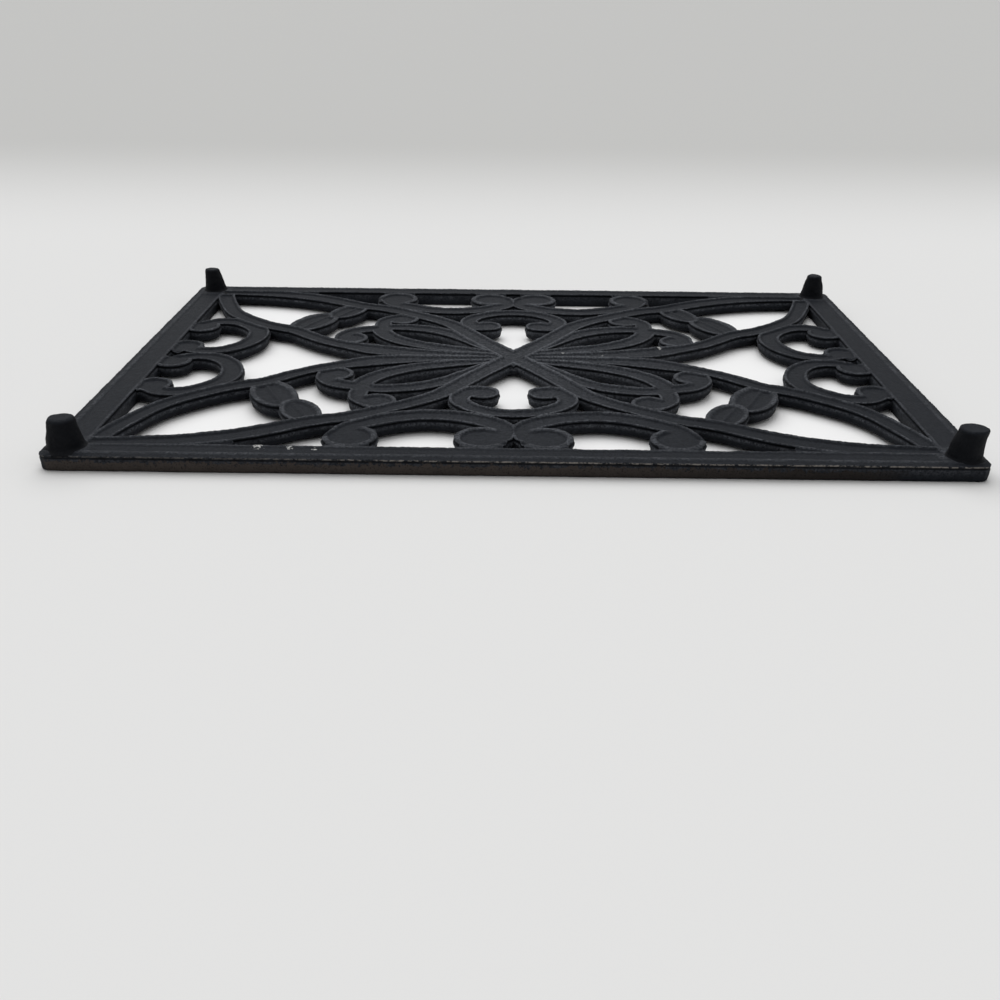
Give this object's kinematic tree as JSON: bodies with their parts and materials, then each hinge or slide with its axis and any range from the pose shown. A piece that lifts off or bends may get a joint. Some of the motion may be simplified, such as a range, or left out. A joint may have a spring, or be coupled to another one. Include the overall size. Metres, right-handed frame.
{
  "type": "cast iron trivet",
  "caption": "Rectangular openwork trivet in black cast iron: symmetrical leaf and scroll bands inside a plain rail, on short round feet at the corners.",
  "frame": {"origin": "centre of the outline on the plane of the decorated face, which lies on the table as pictured", "axes": "+X along the long side, +Y from the front rail to the back rail, +Z from the decorated face to the tips of the feet"},
  "size_m": [0.255, 0.175, 0.0135],
  "materials": {
    "scroll_iron": "matte black paint, rough casting",
    "rail_iron": "matte black paint, worn along the edge",
    "foot_iron": "matte black paint"
  },
  "bodies": {
    "root": {"front_rail": "rail_iron", "back_rail": "rail_iron", "left_rail": "rail_iron", "right_rail": "rail_iron", "boss": "scroll_iron", "middle_scroll_front": "scroll_iron", "middle_scroll_back": "scroll_iron", "foot_front_left": "foot_iron", "foot_front_right": "foot_iron", "foot_back_left": "foot_iron", "foot_back_right": "foot_iron", "arm_front_left": "scroll_iron", "arm_front_right": "scroll_iron", "arm_back_left": "scroll_iron", "arm_back_right": "scroll_iron", "arc_front_left": "scroll_iron", "arc_front_right": "scroll_iron", "arc_back_left": "scroll_iron", "arc_back_right": "scroll_iron", "wing_front_left": "scroll_iron", "wing_front_right": "scroll_iron", "wing_back_left": "scroll_iron", "wing_back_right": "scroll_iron", "end_arc_front_left": "scroll_iron", "end_arc_front_right": "scroll_iron", "end_arc_back_left": "scroll_iron", "end_arc_back_right": "scroll_iron", "petal_front_left": "scroll_iron", "petal_front_right": "scroll_iron", "petal_back_left": "scroll_iron", "petal_back_right": "scroll_iron", "leaves_front_left": "scroll_iron", "leaves_front_right": "scroll_iron", "leaves_back_left": "scroll_iron", "leaves_back_right": "scroll_iron", "long_scroll_front_left": "scroll_iron", "long_scroll_front_right": "scroll_iron", "long_scroll_back_left": "scroll_iron", "long_scroll_back_right": "scroll_iron", "end_scroll_front_left": "scroll_iron", "end_scroll_front_right": "scroll_iron", "end_scroll_back_left": "scroll_iron", "end_scroll_back_right": "scroll_iron"}
  },
  "joints": []
}
